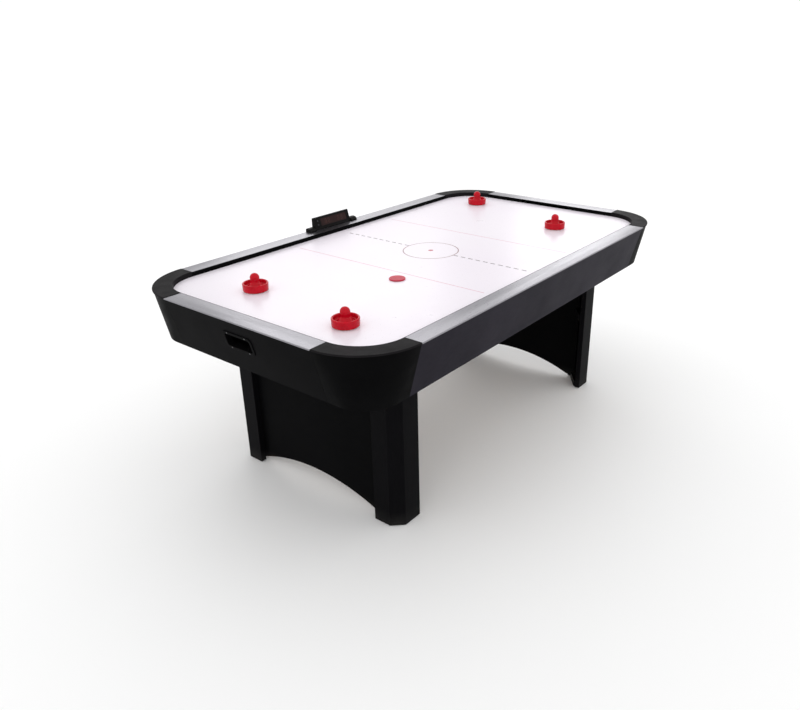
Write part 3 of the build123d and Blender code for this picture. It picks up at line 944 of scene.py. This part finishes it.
def screwSteel(look):
    steel = newMaterial("blackenedScrewSteel")
    turned = addNoise(steel, look["turnScale"], detail=3)
    cloud = addSpan(steel, turned, 0, 1)
    return setShader(steel, {
        "Base Color": addBlend(steel, cloud, look["dark"], look["pale"]),
        "Metallic": 1.0,
        "Roughness": addSpan(steel, addNoise(steel, look["wearScale"]), *look["roughness"]),
        "Normal": addBump(steel, turned, look),
    })


def makeScrew(look):
    radius = look["radius"]
    height = look["height"]
    bpy.ops.mesh.primitive_cylinder_add(
        vertices=16, radius=radius, depth=height, location=(0, 0, 0))
    screw = bpy.context.object
    editFaces(screw, lambda face: face.normal.z > 0.9)
    bpy.ops.mesh.inset(thickness=radius * look["rim"], depth=height * look["rimRise"])
    bpy.ops.mesh.inset(thickness=look["socket"], depth=0)
    bpy.ops.mesh.inset(thickness=radius * look["socketTaper"], depth=-look["socketDepth"])
    bpy.ops.object.mode_set(mode="OBJECT")
    return screw


def meetNode(name, origin, direction):
    # where a straight aim meets the node, and the way its surface faces there
    place, normal = nodes[name].ray_cast(Vector(origin), Vector(direction))[1:3]
    return place, normal


def placeScrews(name, screw, steel, node, aims, look):
    heads = []
    for origin, direction in aims:
        place, normal = meetNode(node, origin, direction)
        seat = place + normal * (look["height"] / 2 - look["sunk"])
        heads.append(copyPiece(screw, seat, normal.to_track_quat("Z", "Y").to_euler()))
    finishPiece(joinPieces(heads), name, steel, "table")


def addScrews(look, places):
    steel = screwSteel(look)
    screw = makeScrew(look)
    outX, outY, outZ = places["outside"]
    low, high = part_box("near_return_bezel")
    rows = (low.z + places["bezelInset"], high.z - places["bezelInset"])
    for end, way in (("near", -1), ("far", 1)):
        spots = [(way * outX, y, z) for y in places["bezelColumns"] for z in rows]
        aims = [(spot, (-way, 0, 0)) for spot in spots]
        placeScrews(f"{end}_bezel_screws", screw, steel, f"{end}_return_bezel", aims, look)
    low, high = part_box("power_panel")
    columns = (low.x + places["panelInset"], high.x - places["panelInset"])
    rows = (low.z + places["panelInset"], high.z - places["panelInset"])
    aims = [((x, outY, z), (0, -1, 0)) for x in columns for z in rows]
    placeScrews("power_panel_screws", screw, steel, "power_panel", aims, look)
    baseLow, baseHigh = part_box("scorer_base")
    low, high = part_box("scorer_bracket")
    columns = (low.x + places["footInset"], high.x - places["footInset"])
    aims = [((x, (baseLow.y + baseHigh.y) / 2, outZ), (0, 0, -1)) for x in columns]
    placeScrews("scorer_foot_screws", screw, steel, "scorer_bracket", aims, look)
    bpy.data.objects.remove(screw)  # the model of the copies


addScrews(screwLook, screwPlaces)
print("screws placed")

# unlit score digits that show on the smoked window, seven bars each: both bars are modelled
# once and copied

digitLook = {
    "height": 0.022,
    "width": 0.012,
    "bar": 0.0024,
    "point": 0.48,  # how far the corners of a bar are cut, as a share of its width
    "gap": 0.3,  # by which a bar is shortened, as a share of its width
    "film": 0.00012,
    "places": (-0.052, -0.032, 0.032, 0.052),  # along the window, from its middle
    "aimFrom": 0.4,  # y of the start of the aim at the window, over the field
    "dark": (0.045, 0.018, 0.016, 1),
    "pale": (0.065, 0.028, 0.024, 1),
    "cloudScale": 120,
    "wearScale": 60,
    "roughness": (0.2, 0.3),
    "specular": 0.12,
}


def makeBar(look, size):
    bpy.ops.mesh.primitive_plane_add(size=1, location=(0, 0, 0))
    bar = bpy.context.object
    bar.scale = (*size, 1)
    bpy.ops.object.transform_apply(location=False, rotation=False, scale=True)
    editMode(bar)
    bpy.ops.mesh.select_all(action="SELECT")
    bpy.ops.mesh.bevel(offset=look["bar"] * look["point"], affect="VERTICES", segments=1)
    raiseFaces(look["film"])
    return bar


def addDigits(look):
    width = look["bar"]
    half = (look["height"] - width) / 2
    side = (look["width"] - width) / 2
    gap = width * look["gap"]
    levelBar = makeBar(look, (2 * side - gap, width))
    uprightBar = makeBar(look, (width, half - gap))
    bars = []
    for place in look["places"]:
        for row in (-half, 0, half):
            bars.append(copyPiece(levelBar, (place, row, 0)))
        for column in (-side, side):
            for row in (-half / 2, half / 2):
                bars.append(copyPiece(uprightBar, (place + column, row, 0)))
    for model in (levelBar, uprightBar):
        bpy.data.objects.remove(model)
    digits = joinPieces(bars)
    low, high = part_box("scorer_window")
    middle = (low + high) / 2
    place, normal = meetNode("scorer_window", (middle.x, look["aimFrom"], middle.z), (0, 1, 0))
    digits.rotation_euler = (math.atan2(-normal.y, normal.z), 0, 0)
    digits.location = place
    unlit = cloudedFinish("unlitDigitBar", look)
    finishPiece(digits, "score_digits", unlit, "table")


addDigits(digitLook)
print("score digits made")
